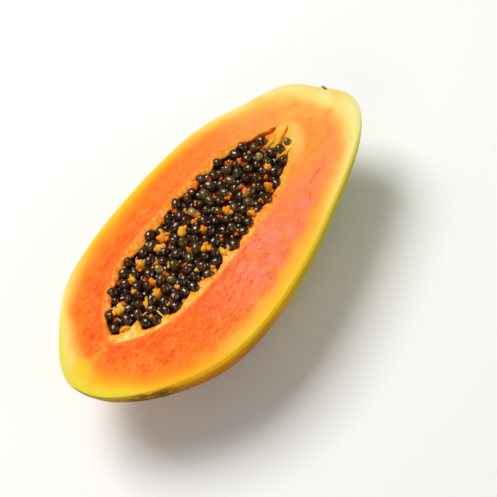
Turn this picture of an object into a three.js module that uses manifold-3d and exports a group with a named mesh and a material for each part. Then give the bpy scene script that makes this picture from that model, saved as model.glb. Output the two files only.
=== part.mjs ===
// Half a ripe papaya, cut lengthwise from stem to tip, lying cut face up.
//
// Millimetres. X runs along the fruit towards the stem end, Y lies across the cut face
// and Z points up. The origin is on the resting surface, below the middle of the cut face.
//
// Three pieces: the fruit itself (skin and flesh grown as one), the soft placenta that lines
// the seed cavity and sends strands up through it, and the heap of seeds.

import * as THREE from 'three';
import { mergeVertices } from 'three/addons/utils/BufferGeometryUtils.js';
import Module from 'manifold-3d';

const wasm = await Module();
wasm.setup();

// ---- Driving dimensions ----

const FACE_HEIGHT = 52;
const HALF_LENGTH = 104;
const SWELL_ANGLE = 4; // degrees in which the belly still widens below the cut; the ends don't
const FOOT = new THREE.Vector2( - 2.5, 0.9 ); // lowest point, below the centre of mass
const FLAT_SINK = 0.5; // how far the belly would reach below its flat resting spot

const LOBES = 5;
const LOBE_HEIGHT = 0.9;
const STEM_SCAR = { y: 7.3, depth: 2, radius: 3.4 };

const CAVITY_CENTRE = new THREE.Vector2( - 4, 8 );
const CAVITY_DEPTH = 25;

const GAP = 0.35; // between two pieces that touch
const FRINGE_WIDTH = 1.3; // thickness of the placenta at the cut
const TONGUE = { angle: 193, spread: 13, width: 3.2 }; // where the cut placenta is widest
const FRINGE_RISE = 0.7; // how far its torn edge stands above and below the cut
const STRAND_ROOT = 2; // how far a strand is sunk into the lining, which then trims it

const SEED_LENGTH = 6.4;
const SEED_WIDTH = 5.3;
const SEED_SPACING = 4.85;
const SEED_MARGIN = 2.9; // from a seed's centre to the placenta
const SEED_SINK = 1.5; // seed centres below the cut at the cavity's edge
const HEAP_RISE = 2; // and how much higher they lie in the middle
const SEED_LIFT = 0.8; // most that one seed stands above or below the heap
const CORE_BELOW_SEEDS = 1.1;
const SEED_TRIES = 5000;
const SEED_AREA = { left: - 75, right: 58, front: - 16, back: 31 };

const AROUND = 96; // points round the fruit
const INNER_AROUND = AROUND / 2; // round the placenta inside its cavity
const CORE_AROUND = AROUND / 4; // and round the hidden middle of the seed heap
const SKIN_ROWS = [ 0, 0.05, 0.15, 0.26, 0.39, 0.52, 0.65, 0.78, 0.9, 1 ]; // from cut to foot
const CAVITY_ROWS = [ 72, 52, 34, 18, 7 ]; // degrees down the cavity wall, from the floor up
const CURVE_SAMPLES = 720;
const BLOCK_RISE = 10; // how far the trimming blocks reach above the cut

const SKIN = new THREE.Color( '#eec21c' );
const FLESH = new THREE.Color( '#f98a33' );
const PULP = new THREE.Color( '#f3b04a' );
const SEED = new THREE.Color( '#1f1811' );

// The edge of the cut face, counter-clockwise from the stem end.
const EDGE_POINTS = [
	[ 103.6, - 5 ], [ 98.5, 8.8 ], [ 89, 24.9 ], [ 65.5, 36.2 ], [ 47, 43.9 ], [ 28, 47.8 ],
	[ - 2, 49.7 ], [ - 38, 48.3 ], [ - 66, 42.3 ], [ - 88.3, 27.1 ], [ - 101.1, 13.3 ],
	[ - 103.6, 1.6 ], [ - 97.3, - 14.3 ], [ - 78, - 32.2 ], [ - 51, - 46 ], [ - 20, - 49.8 ],
	[ 15, - 46 ], [ 52, - 36.5 ], [ 84, - 26 ], [ 99.3, - 16.6 ],
];

// The mouth of the seed cavity, counter-clockwise from the stem end.
const RIM_POINTS = [
	[ 71, 8 ], [ 66, 13.5 ], [ 56, 18.5 ], [ 43, 25.5 ], [ 24, 29.5 ], [ 0, 30.2 ],
	[ - 22, 31 ], [ - 42, 28.8 ], [ - 60, 21.3 ], [ - 71, 11.3 ], [ - 75.5, 4.5 ],
	[ - 70, - 1.2 ], [ - 55, - 10.2 ], [ - 36, - 14.8 ], [ - 12, - 15.6 ], [ 14, - 14.8 ],
	[ 36, - 12.2 ], [ 52, - 6.6 ], [ 66, 0 ],
];

// Strands of placenta that stand up between the seeds: middle, length, width, turn in degrees
// and how far the tip rises above the cut.
const STRANDS = [
	{ at: [ - 60.5, 12 ], length: 5.5, width: 3, turn: - 50, rise: 1.6 },
	{ at: [ - 65.5, 3 ], length: 7.5, width: 4, turn: - 35, rise: 0.8 },
	{ at: [ - 49, 3 ], length: 9, width: 2.2, turn: 42, rise: 2.4 },
	{ at: [ - 43.5, 17.3 ], length: 4.5, width: 3.2, turn: 100, rise: 1.8 },
	{ at: [ - 42.5, 1.7 ], length: 5, width: 3.2, turn: - 15, rise: 2.2 },
	{ at: [ - 38.6, 8.2 ], length: 5, width: 2.5, turn: 90, rise: 1.6 },
	{ at: [ - 34.8, 19.5 ], length: 5.8, width: 3.2, turn: 90, rise: 2.6 },
	{ at: [ - 22.6, 17.4 ], length: 4.4, width: 3.2, turn: - 25, rise: 2.4 },
	{ at: [ - 16.8, 19.6 ], length: 7, width: 5, turn: 20, rise: 2.4 },
	{ at: [ - 8.6, 13.6 ], length: 4.4, width: 4, turn: 0, rise: 2.8 },
	{ at: [ - 7.6, - 1.8 ], length: 3.6, width: 3.2, turn: 0, rise: 2.4 },
	{ at: [ - 5, - 9.8 ], length: 8, width: 2.6, turn: 75, rise: 1.2 },
	{ at: [ - 1.4, 5.6 ], length: 5, width: 3, turn: 105, rise: 1.8 },
	{ at: [ 2.6, 12.3 ], length: 4.2, width: 3, turn: 90, rise: 1.6 },
	{ at: [ 13.5, 1.7 ], length: 4.2, width: 3.2, turn: 0, rise: 2.4 },
	{ at: [ 20, - 8 ], length: 6, width: 3, turn: 110, rise: 1.2 },
	{ at: [ 27, 1.8 ], length: 6.2, width: 2.6, turn: 35, rise: 2.6 },
	{ at: [ 36.8, - 5.3 ], length: 5, width: 3, turn: 85, rise: 1.6 },
	{ at: [ 39.5, 15.5 ], length: 4.2, width: 2.4, turn: 75, rise: 1.8 },
	{ at: [ 45.2, 2 ], length: 4.2, width: 3, turn: 20, rise: 1.6 },
	{ at: [ 58.5, 9 ], length: 13, width: 4.4, turn: 0, rise: 0.2 },
	{ at: [ 57.5, 1.6 ], length: 11, width: 2.4, turn: - 25, rise: 0.4 },
];

// Seeds that set the outline of the heap. The rest fall between them.
const LEADING_SEEDS = [
	[ - 68, 8.5 ], [ - 64.5, 14.5 ], [ - 54, 21.5 ], [ - 47.5, 19.5 ], [ - 37.5, 25.5 ],
	[ - 28.5, 23 ], [ - 19.3, 26.6 ], [ - 7, 24.5 ], [ 2, 27 ], [ 12, 25 ], [ 20.5, 26.3 ],
	[ 33, 25.2 ], [ 47.5, 20 ], [ 51, 15 ], [ 56, 14.6 ], [ 63, 2.8 ], [ 53.4, 5.8 ],
	[ 53.6, - 1.6 ], [ 46.2, - 2.8 ], [ 41, - 6.8 ], [ 31.5, - 9 ], [ 9.8, - 10.5 ],
	[ 1.5, - 11.6 ], [ - 11.5, - 9.6 ], [ - 18.3, - 11 ], [ - 41.5, - 9.5 ], [ - 46, - 6.2 ],
	[ - 53, - 6.6 ], [ - 56.5, - 2.5 ], [ - 61, 6 ], [ - 56.8, 17 ], [ - 52.5, 12.6 ],
];

// ---- Curves ----

function radians( degrees ) {

	return THREE.MathUtils.degToRad( degrees );

}

// A smooth closed curve through the points, as many plain points.
function closedCurve( points ) {

	const corners = points.map( ( [ x, y ] ) => new THREE.Vector3( x, y, 0 ) );
	const curve = new THREE.CatmullRomCurve3( corners, true, 'catmullrom', 0.5 );
	return curve.getPoints( CURVE_SAMPLES ).slice( 0, CURVE_SAMPLES );

}

function angleFromCentre( point ) {

	return Math.atan2( point.y - CAVITY_CENTRE.y, point.x - CAVITY_CENTRE.x );

}

// Each point of a counter-clockwise curve moved inwards, by a distance given for its angle.
function insetCurve( curve, distanceAt ) {

	return curve.map( ( point, i ) => {

		const before = curve[ ( i + curve.length - 3 ) % curve.length ];
		const after = curve[ ( i + 3 ) % curve.length ];
		const along = after.clone().sub( before ).normalize();
		const inwards = new THREE.Vector3( - along.y, along.x, 0 );
		return point.clone().addScaledVector( inwards, distanceAt( angleFromCentre( point ) ) );

	} );

}

// The curve's distance from the middle of the cavity, as a function of the angle there.
function radiusOf( curve ) {

	const around = curve.map( ( point ) => ( {
		angle: angleFromCentre( point ),
		radius: Math.hypot( point.x - CAVITY_CENTRE.x, point.y - CAVITY_CENTRE.y ),
	} ) );
	around.sort( ( a, b ) => a.angle - b.angle );

	return ( angle ) => {

		const turned = Math.atan2( Math.sin( angle ), Math.cos( angle ) );
		const after = around.findIndex( ( place ) => place.angle > turned );
		const next = around[ Math.max( after, 0 ) ];
		const last = around[ ( after <= 0 ? around.length : after ) - 1 ];
		const step = ( next.angle - last.angle + 2 * Math.PI ) % ( 2 * Math.PI );
		const past = ( turned - last.angle + 2 * Math.PI ) % ( 2 * Math.PI );
		return last.radius + ( next.radius - last.radius ) * past / step;

	};

}

// How thick the placenta is at the cut: a thin lining with one broad tongue.
function fringeWidth( angle ) {

	const turned = angle - radians( TONGUE.angle );
	const off = Math.atan2( Math.sin( turned ), Math.cos( turned ) ) / radians( TONGUE.spread );
	return FRINGE_WIDTH + ( TONGUE.width - FRINGE_WIDTH ) * Math.exp( - off * off );

}

const rimCurve = closedCurve( RIM_POINTS );
const edgeRadius = radiusOf( closedCurve( EDGE_POINTS ) );
const rimRadius = radiusOf( rimCurve );

// The mouth's radius, drawn in by a fixed distance and, if asked, by the placenta as well.
function insetRadius( distance, withFringe ) {

	const distanceAt = ( angle ) => distance + ( withFringe ? fringeWidth( angle ) : 0 );
	return radiusOf( insetCurve( rimCurve, distanceAt ) );

}

const liningOuterRadius = insetRadius( GAP, false );
const liningMiddleRadius = insetRadius( GAP + 0.5 * FRINGE_WIDTH, false );
const liningInnerRadius = insetRadius( GAP, true );
const heapRadius = insetRadius( 2 * GAP, true );
const coreRadius = insetRadius( 3 * GAP, true );
const seedReach = insetRadius( GAP + SEED_MARGIN, true );

// ---- Solids ----

// Angles from the middle of the cavity that spread evenly round an oval twice as long as wide.
function anglesAround( count ) {

	return Array.from( { length: count }, ( _, i ) => {

		const turn = 2 * Math.PI * i / count;
		return Math.atan2( Math.sin( turn ), 2 * Math.cos( turn ) );

	} );

}

// One level ring round the middle of the cavity. The height may depend on the angle.
function levelRing( count, radiusAt, share, heightAt ) {

	return anglesAround( count ).map( ( angle ) => {

		const reach = radiusAt( angle ) * share;
		const x = CAVITY_CENTRE.x + reach * Math.cos( angle );
		const y = CAVITY_CENTRE.y + reach * Math.sin( angle );
		return new THREE.Vector3( x, y, heightAt( angle ) );

	} );

}

// The rings of a bowl-shaped wall, from the floor up to just below its rim.
function bowlRings( count, radiusAt, depth ) {

	return CAVITY_ROWS.map( ( row ) => {

		const height = FACE_HEIGHT - depth * Math.sin( radians( row ) );
		return levelRing( count, radiusAt, Math.cos( radians( row ) ), () => height );

	} );

}

function belowCentre( height ) {

	return new THREE.Vector3( CAVITY_CENTRE.x, CAVITY_CENTRE.y, height );

}

// One closed skin from a first pole over rings with equal counts to a last pole. Seen from
// above the rings run counter-clockwise, and the surface faces up where they widen.
function closedGrid( firstPole, rings, lastPole ) {

	const count = rings[ 0 ].length;
	const points = [ firstPole, ...rings.flat(), lastPole ];
	const last = points.length - 1;
	const index = [];
	const at = ( row, i ) => 1 + row * count + i % count;

	for ( let i = 0; i < count; i ++ ) {

		index.push( 0, at( 0, i ), at( 0, i + 1 ) );

		for ( let row = 0; row < rings.length - 1; row ++ ) {

			index.push( at( row, i ), at( row + 1, i ), at( row + 1, i + 1 ) );
			index.push( at( row, i ), at( row + 1, i + 1 ), at( row, i + 1 ) );

		}

		index.push( at( rings.length - 1, i ), last, at( rings.length - 1, i + 1 ) );

	}

	const places = points.flatMap( ( point ) => point.toArray() );
	const geometry = new THREE.BufferGeometry();
	geometry.setAttribute( 'position', new THREE.Float32BufferAttribute( places, 3 ) );
	geometry.setIndex( index );
	return geometry;

}

function toSolid( geometry ) {

	const vertProperties = new Float32Array( geometry.attributes.position.array );
	const triVerts = new Uint32Array( geometry.index.array );
	return new wasm.Manifold( new wasm.Mesh( { numProp: 3, vertProperties, triVerts } ) );

}

function toGeometry( solid ) {

	const mesh = solid.getMesh();
	const geometry = new THREE.BufferGeometry();
	geometry.setAttribute( 'position', new THREE.BufferAttribute( mesh.vertProperties, 3 ) );
	geometry.setIndex( new THREE.BufferAttribute( mesh.triVerts, 1 ) );
	return geometry;

}

function joined( solids ) {

	return solids.reduce( ( sum, solid ) => sum.add( solid ) );

}

// The solid without the crumbs that a cut leaves loose.
function largestBody( solid ) {

	const bodies = solid.decompose();
	return bodies.reduce( ( best, body ) => body.volume() > best.volume() ? body : best );

}

// A bowl-shaped block that fills the cavity to a wall, and goes on straight up past the cut.
function bowlBlock( count, radiusAt, depth ) {

	const top = FACE_HEIGHT + BLOCK_RISE;
	const rings = [
		levelRing( count, radiusAt, 1, () => top ),
		levelRing( count, radiusAt, 1, () => FACE_HEIGHT ),
		...bowlRings( count, radiusAt, depth ).reverse(),
	];
	return toSolid( closedGrid( belowCentre( top ), rings, belowCentre( FACE_HEIGHT - depth ) ) );

}

// ---- The fruit: skin and flesh in one ----

// A point of the skin, from the cut, 0, to its flat foot, 1: the cut edge drawn in towards the
// foot on an ellipse, with five soft lobes along the fruit and a small sunken scar at the stem.
function skinPoint( edge, share ) {

	const swell = radians( SWELL_ANGLE ) * ( 1 - ( edge.x / HALF_LENGTH ) ** 4 );
	const depth = ( FACE_HEIGHT + FLAT_SINK ) / ( 1 + Math.sin( swell ) ); // below the widest line
	const footAngle = Math.asin( Math.sin( swell ) - FACE_HEIGHT / depth );
	const angle = THREE.MathUtils.lerp( swell, footAngle, share );
	const draw = Math.cos( angle ) / Math.cos( swell );
	const point = new THREE.Vector3(
		FOOT.x + ( edge.x - FOOT.x ) * draw,
		FOOT.y + ( edge.y - FOOT.y ) * draw,
		FACE_HEIGHT + depth * ( Math.sin( angle ) - Math.sin( swell ) ),
	);

	const height = Math.max( point.z, 0 ) / FACE_HEIGHT;
	const round = Math.atan2( point.z - FACE_HEIGHT, point.y );
	const lobe = LOBE_HEIGHT * Math.cos( LOBES * ( round + Math.PI / 2 ) ) * 4 * height * ( 1 - height );
	point.y += lobe * Math.cos( round );
	point.z += lobe * Math.sin( round );

	if ( point.x > 0 ) {

		const off = Math.hypot( point.y - STEM_SCAR.y, point.z - FACE_HEIGHT ) / STEM_SCAR.radius;
		point.x -= STEM_SCAR.depth * Math.exp( - off * off );

	}

	point.z = Math.max( point.z, 0 );
	return point;

}

function fruitHalf() {

	const edge = levelRing( AROUND, edgeRadius, 1, () => FACE_HEIGHT );
	const cavity = bowlRings( AROUND, rimRadius, CAVITY_DEPTH );
	const rim = levelRing( AROUND, rimRadius, 1, () => FACE_HEIGHT );
	const skin = SKIN_ROWS.map( ( share ) => edge.map( ( point ) => skinPoint( point, share ) ) );
	const floor = belowCentre( FACE_HEIGHT - CAVITY_DEPTH );
	const foot = new THREE.Vector3( FOOT.x, FOOT.y, 0 );
	const geometry = closedGrid( floor, [ ...cavity, rim, ...skin ], foot );

	const fleshCount = 1 + ( cavity.length + 1 ) * AROUND;
	const tints = Array.from( { length: geometry.attributes.position.count }, ( _, i ) => {

		return i < fleshCount ? FLESH.toArray() : SKIN.toArray();

	} );
	geometry.setAttribute( 'color', new THREE.Float32BufferAttribute( tints.flat(), 3 ) );
	return geometry;

}

// ---- The placenta ----

// How far out a place lies between the middle of the cavity, 0, and a wall, 1.
function shareOf( radiusAt, x, y ) {

	const place = new THREE.Vector3( x, y, 0 );
	const reach = Math.hypot( x - CAVITY_CENTRE.x, y - CAVITY_CENTRE.y );
	return reach / radiusAt( angleFromCentre( place ) );

}

// One strand: a tapered oval peg with a blunt tip, rooted in the cavity's floor.
function strandSolid( strand, margin ) {

	const [ x, y ] = strand.at;
	const share = Math.min( shareOf( liningOuterRadius, x, y ), 1 );
	const tip = FACE_HEIGHT + strand.rise + margin;
	const root = FACE_HEIGHT - CAVITY_DEPTH * Math.sqrt( 1 - share * share ) - STRAND_ROOT;
	const turn = radians( strand.turn );
	const shape = [ // how wide, and at what height
		[ 0.6, tip - 0.5 ],
		[ 1, tip - 2 ],
		[ 0.7, Math.min( tip - 6, root + 4 ) ],
		[ 0.6, root ],
	];

	const rings = shape.map( ( [ taper, z ] ) => Array.from( { length: 6 }, ( _, i ) => {

		const along = ( 0.5 * strand.length * taper + margin ) * Math.cos( Math.PI * i / 3 );
		const across = ( 0.5 * strand.width * taper + margin ) * Math.sin( Math.PI * i / 3 );
		return new THREE.Vector3(
			x + along * Math.cos( turn ) - across * Math.sin( turn ),
			y + along * Math.sin( turn ) + across * Math.cos( turn ),
			z,
		);

	} ) );

	return toSolid( closedGrid( new THREE.Vector3( x, y, tip ), rings, new THREE.Vector3( x, y, root - 1 ) ) );

}

function fringeHeight( angle ) {

	return FACE_HEIGHT + FRINGE_RISE * ( 0.6 * Math.sin( 11 * angle ) + 0.4 * Math.sin( 29 * angle + 1 ) );

}

function placenta() {

	const innerDepth = CAVITY_DEPTH - GAP - FRINGE_WIDTH;
	const outerDepth = CAVITY_DEPTH - GAP;
	const rings = [
		...bowlRings( INNER_AROUND, liningInnerRadius, innerDepth ),
		levelRing( INNER_AROUND, liningInnerRadius, 1, fringeHeight ),
		levelRing( INNER_AROUND, liningOuterRadius, 1, fringeHeight ),
		...bowlRings( INNER_AROUND, liningOuterRadius, outerDepth ).reverse(),
	];
	const floor = belowCentre( FACE_HEIGHT - innerDepth );
	const lining = toSolid( closedGrid( floor, rings, belowCentre( FACE_HEIGHT - outerDepth ) ) );
	const strands = joined( STRANDS.map( ( strand ) => strandSolid( strand, 0 ) ) );
	const reach = bowlBlock( INNER_AROUND, liningMiddleRadius, CAVITY_DEPTH - GAP - 0.5 * FRINGE_WIDTH );
	return lining.add( strands.intersect( reach ) );

}

// ---- The seeds ----

// Even random numbers from 0 to 1, the same on every run.
function randomSource( start ) {

	const modulus = 2147483647;
	let state = start;
	return () => {

		state = ( state * 16807 ) % modulus;
		return state / modulus;

	};

}

// True where a seed fits: inside the heap's outline and not on a strand.
function fitsHeap( x, y ) {

	const angle = angleFromCentre( new THREE.Vector3( x, y, 0 ) );
	const reach = Math.hypot( x - CAVITY_CENTRE.x, y - CAVITY_CENTRE.y );
	if ( reach > seedReach( angle ) ) return false;

	return STRANDS.every( ( { at, length, width, turn } ) => {

		const off = new THREE.Vector2( x - at[ 0 ], y - at[ 1 ] );
		off.rotateAround( new THREE.Vector2(), - radians( turn ) );
		return Math.hypot( off.x / ( 0.5 * length + 1 ), off.y / ( 0.5 * width + 1 ) ) > 1;

	} );

}

// The leading seeds, then as many more as fall at random without crowding another.
function seedPlaces( random ) {

	const places = LEADING_SEEDS.map( ( [ x, y ] ) => ( { x, y } ) );

	for ( let i = 0; i < SEED_TRIES; i ++ ) {

		const x = THREE.MathUtils.lerp( SEED_AREA.left, SEED_AREA.right, random() );
		const y = THREE.MathUtils.lerp( SEED_AREA.front, SEED_AREA.back, random() );
		const clear = places.every( ( other ) => Math.hypot( x - other.x, y - other.y ) > SEED_SPACING );
		if ( clear && fitsHeap( x, y ) ) places.push( { x, y } );

	}

	return places;

}

function heapHeight( x, y ) {

	const share = shareOf( heapRadius, x, y );
	return FACE_HEIGHT - SEED_SINK + HEAP_RISE * ( 1 - share * share );

}

function seedSolid( { x, y }, random ) {

	const geometry = new THREE.IcosahedronGeometry( 0.5, 0 );
	geometry.deleteAttribute( 'normal' );
	geometry.deleteAttribute( 'uv' );
	const size = 0.92 + 0.16 * random();
	const turn = new THREE.Euler( Math.PI * random(), Math.PI * random(), Math.PI * random() );
	const z = heapHeight( x, y ) + SEED_LIFT * ( 2 * random() - 1 );
	const place = new THREE.Matrix4().compose(
		new THREE.Vector3( x, y, z ),
		new THREE.Quaternion().setFromEuler( turn ),
		new THREE.Vector3( SEED_LENGTH, SEED_WIDTH, SEED_WIDTH ).multiplyScalar( size ),
	);
	return toSolid( mergeVertices( geometry ).applyMatrix4( place ) );

}

// The dark middle of the heap, which the outer seeds are sunk into.
function seedCore() {

	const depth = CAVITY_DEPTH - 3 * GAP - FRINGE_WIDTH;
	const foot = FACE_HEIGHT - SEED_SINK - CORE_BELOW_SEEDS;
	const topAt = ( share ) => foot + HEAP_RISE * ( 1 - share * share );
	const shares = [ 0.5, Math.cos( radians( CAVITY_ROWS.at( - 1 ) ) ) ];
	const top = shares.map( ( share ) => levelRing( CORE_AROUND, coreRadius, share, () => topAt( share ) ) );
	const walls = bowlRings( CORE_AROUND, coreRadius, depth ).reverse().slice( 1 );
	const floor = belowCentre( FACE_HEIGHT - depth );
	return toSolid( closedGrid( belowCentre( topAt( 0 ) ), [ ...top, ...walls ], floor ) );

}

function seedMass() {

	const random = randomSource( 20 );
	const seeds = seedPlaces( random ).map( ( place ) => seedSolid( place, random ) );
	const reach = bowlBlock( INNER_AROUND, heapRadius, CAVITY_DEPTH - 2 * GAP - FRINGE_WIDTH );
	const strandHoles = joined( STRANDS.map( ( strand ) => strandSolid( strand, GAP ) ) );
	const heap = joined( [ seedCore(), ...seeds ] ).intersect( reach ).subtract( strandHoles );
	return heap;

}

// ---- The papaya ----

function piece( name, geometry, look ) {

	const mesh = new THREE.Mesh( geometry, new THREE.MeshStandardMaterial( { metalness: 0, ...look } ) );
	mesh.name = name;
	return mesh;

}

const papaya = new THREE.Group();
papaya.add( piece( 'fruit_half', fruitHalf(), { vertexColors: true, roughness: 0.4 } ) );
papaya.add( piece( 'placenta', toGeometry( placenta() ), { color: PULP, roughness: 0.5 } ) );
papaya.add( piece( 'seed_mass', toGeometry( seedMass() ), { color: SEED, roughness: 0.25 } ) );

export default papaya;
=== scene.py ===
"""Half a ripe papaya with its seeds, cut face up: an add-on layout, run as a script.

Shapes are worked out in millimetres in the frame's own axes (X to the stem end, Y across the
cut face, Z up from the resting surface) and go into the meshes in metres.
"""

from math import cos, pi, radians, sin

import bpy
import numpy as np
from mathutils import Euler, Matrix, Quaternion, Vector


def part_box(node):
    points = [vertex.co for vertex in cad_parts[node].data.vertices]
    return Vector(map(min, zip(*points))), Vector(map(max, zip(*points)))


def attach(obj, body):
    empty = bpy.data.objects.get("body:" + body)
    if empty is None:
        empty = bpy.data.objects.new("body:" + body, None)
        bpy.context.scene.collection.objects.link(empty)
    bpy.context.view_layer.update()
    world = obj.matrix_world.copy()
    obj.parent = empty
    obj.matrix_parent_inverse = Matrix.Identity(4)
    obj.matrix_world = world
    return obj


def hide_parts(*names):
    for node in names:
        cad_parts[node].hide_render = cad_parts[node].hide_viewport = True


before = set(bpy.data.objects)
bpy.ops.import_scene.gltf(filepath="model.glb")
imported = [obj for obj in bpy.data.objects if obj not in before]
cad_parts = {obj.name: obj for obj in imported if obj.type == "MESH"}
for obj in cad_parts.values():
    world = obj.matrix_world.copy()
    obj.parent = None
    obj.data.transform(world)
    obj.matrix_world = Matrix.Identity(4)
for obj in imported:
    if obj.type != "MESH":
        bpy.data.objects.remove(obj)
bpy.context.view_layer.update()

bl_info = {
    "name": "Papaya Half",
    "version": (1, 0, 0),
    "blender": (4, 5, 0),
    "location": "View3D > Sidebar > Papaya",
    "description": "Builds half a ripe papaya: skin and flesh, placenta, strands and seeds",
    "category": "Add Mesh",
}

MM = 0.001
BODY = "root"
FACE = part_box("fruit_half")[1].z / MM  # height of the cut above the resting surface

# ---- The fruit's own sizes, in millimetres and degrees ----

FOOT = np.array([-2.5, 0.9])  # plan place of the lowest point
FLAT_SINK = 0.5
HALF_LENGTH = 104
SWELL = radians(4)  # in which the belly still widens below the cut; the ends don't
LOBES = 5
LOBE_HEIGHT = 0.9
STEM_SCAR = {"y": 7.3, "depth": 2.0, "radius": 3.4}
CORK = {"size": (2.2, 4.4, 2.0), "place": (99.3, 6.9, FACE - 0.7)}  # what the stem left
NARROWING = {"from": 70, "to": 98, "by": 0.72}  # of the colours under the rind, by length

CENTRE = np.array([-4.0, 8.0])  # plan middle of the seed cavity
CAVITY_DEPTH = 25.0
GAP = 0.35
RIM_ROUND = 0.6  # how far the flesh rounds over into the cavity
CUT_ROUND = 0.35  # and over the outer edge of the cut
WALL_ANGLES = np.linspace(radians(84), radians(4), 14)  # up the cavity's quarter ellipse
LAP = 0.45  # of the placenta's fringe over the flesh
SUNK = 0.12  # depth of its outer wall in the flesh
LINING = 1.3  # thickness of the placenta at the cut, but for one broad tongue
STEM_CORNER = (48, 58)  # along the fruit, where the cavity narrows towards the stem
TONGUE = {"angle": radians(193), "spread": radians(13), "width": 3.2}

SEED_START = 20  # of the random numbers that place the seeds
SEED_TRIES = 5000
SEED_AREA = np.array([(-75, -16), (58, 31)])
SEED_SPACING = 4.85
SEED_MARGIN = 2.9
SEED_SINK = 1.5
SEED_LIFT = 0.8

# The second layer of seeds, and the loose crumbs of placenta: how far apart they lie, and how
# clear of the upper seeds' middles.
UNDER = {"tries": 4000, "area": ((-75, -16), (56, 31)), "spacing": 3.6, "clear": 2.9, "drop": 3.0}
CRUMBS = {"tries": 6000, "area": ((-72, -14), (56, 29)), "spacing": 6.5, "clear": 2.75,
          "margin": 1.5, "lift": (-1.4, 0.3), "lump": (1.3, 3.0)}
LUMPS = 3  # in one crumb of placenta
KNOB_LENGTH = 7  # strands up to this long carry crumbs
# The middle of the heap is dark, painted shade for the gaps between the seeds.
CORE = {"around": 96, "drop": 4.2}  # the dark middle of the heap, and how far it lies below

# The edge of the cut face, counter-clockwise from the stem end.
EDGE_POINTS = [
    (103.6, -5), (98.5, 8.8), (89, 24.9), (65.5, 36.2), (47, 43.9), (28, 47.8), (-2, 49.7),
    (-38, 48.3), (-66, 42.3), (-88.3, 27.1), (-101.1, 13.3), (-103.6, 1.6), (-97.3, -14.3),
    (-78, -32.2), (-51, -46), (-20, -49.8), (15, -46), (52, -36.5), (84, -26), (99.3, -16.6),
]

# The mouth of the seed cavity, counter-clockwise from the stem end.
RIM_POINTS = [
    (71, 8), (66, 13.5), (56, 18.5), (43, 25.5), (24, 29.5), (0, 30.2), (-22, 31),
    (-42, 28.8), (-60, 21.3), (-71, 11.3), (-75.5, 4.5), (-70, -1.2), (-55, -10.2),
    (-36, -14.8), (-12, -15.6), (14, -14.8), (36, -12.2), (52, -6.6), (66, 0),
]

# Loose fibres of placenta: radius, tone, and plan places from end to end.
FIBRES = [
    (0.28, 0.8, [(50, 1.5), (57, 0.3), (64, -1.5)]),
    (0.26, 0.8, [(51, 10.6), (58, 10.4), (65, 10.4)]),
    (0.40, 0.8, [(-58, 1), (-53, 0), (-49, -1.5)]),
    (0.55, 0.85, [(-49.6, -9.5), (-49.3, -5.5), (-48.6, -2.5)]),
    (0.45, 0.7, [(-30, -10.8), (-28.5, -7.5), (-27, -5)]),
    (0.45, 0.6, [(8, -11.5), (8.6, -8), (8, -5.5)]),
    (0.40, 0.6, [(26, 24.2), (27.5, 21.5), (30, 19.8)]),
    (0.50, 0.7, [(-62, 16.8), (-61, 14.5), (-60.5, 12.5)]),
]

# The torn inner edge of the placenta's fringe, counter-clockwise from the stem end: plan x
# and y, and tone from deep orange, 0, to cream, 1.
FRINGE_POINTS = [
    # The tones from (66, 12.6) to (58, 16.9) are raised, painted light where the flesh wall shades
    # the stem corner.
    (55.5, 8, 0.72), (56, 10.4, 0.7), (60.5, 11.8, 0.5), (66, 12.6, 0.45), (63.5, 14.4, 0.42),
    (58, 16.9, 0.4), (53, 18.6, 0.38), (46, 22, 0.35), (38, 23.5, 0.68), (33, 26, 0.4),
    (26, 24.5, 0.62), (20, 27.5, 0.34), (15.5, 23.5, 0.12), (10, 27, 0.52), (2, 27.5, 0.52),
    (-7, 26.5, 0.42), (-13, 25, 0.46), (-18, 27, 0.4), (-25, 25.5, 0.5), (-32, 25.5, 0.4),
    (-38, 26.5, 0.3), (-46, 23.8, 0.4), (-54, 21.5, 0.32), (-61, 16.5, 0.46),
    (-67, 14, 0.3), (-71, 8, 0.26), (-70.5, 5, 0.7), (-65, 2, 0.85), (-58.5, 1, 0.88),
    (-60, -4.5, 0.72), (-55, -8, 0.58), (-49.5, -7.5, 0.82), (-44, -11, 0.58),
    (-36, -11, 0.6), (-29, -9.8, 0.64), (-23.5, -10, 0.66), (-18, -13.2, 0.52),
    (-10, -13, 0.52), (-5, -9, 0.72), (-1, -13.2, 0.58), (6, -12.5, 0.56),
    (9.5, -10.2, 0.68), (14, -12.2, 0.48), (17.5, -9, 0.52), (24, -9.8, 0.42),
    (31, -10.2, 0.32), (39, -9.2, 0.58), (47, -5.8, 0.5), (54, -3.8, 0.62),
    (57.5, -1, 0.7), (58.5, 2, 0.78), (57, 5.5, 0.76),
]

# The fringe's section, from its underside round the torn edge and back over its top: share of
# its width, from the mouth inwards, and height above the cut.
FRINGE_SECTION = [
    (0.6, -3.4), (0.8, -2.6), (0.94, -1.9), (1.0, -1.3), (0.97, -0.85), (0.91, -0.6),
    *((share, -0.05 - 0.6 * share**3) for share in np.linspace(0.84, 0.03, 19)), (0.0, -0.2),
]

# A cleft in the fringe at the stem end: both ends in plan, width and depth.
CLEFT = {"from": (56.5, 3.6), "to": (71.5, 8.6), "width": 0.7, "depth": 2.2}

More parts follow.
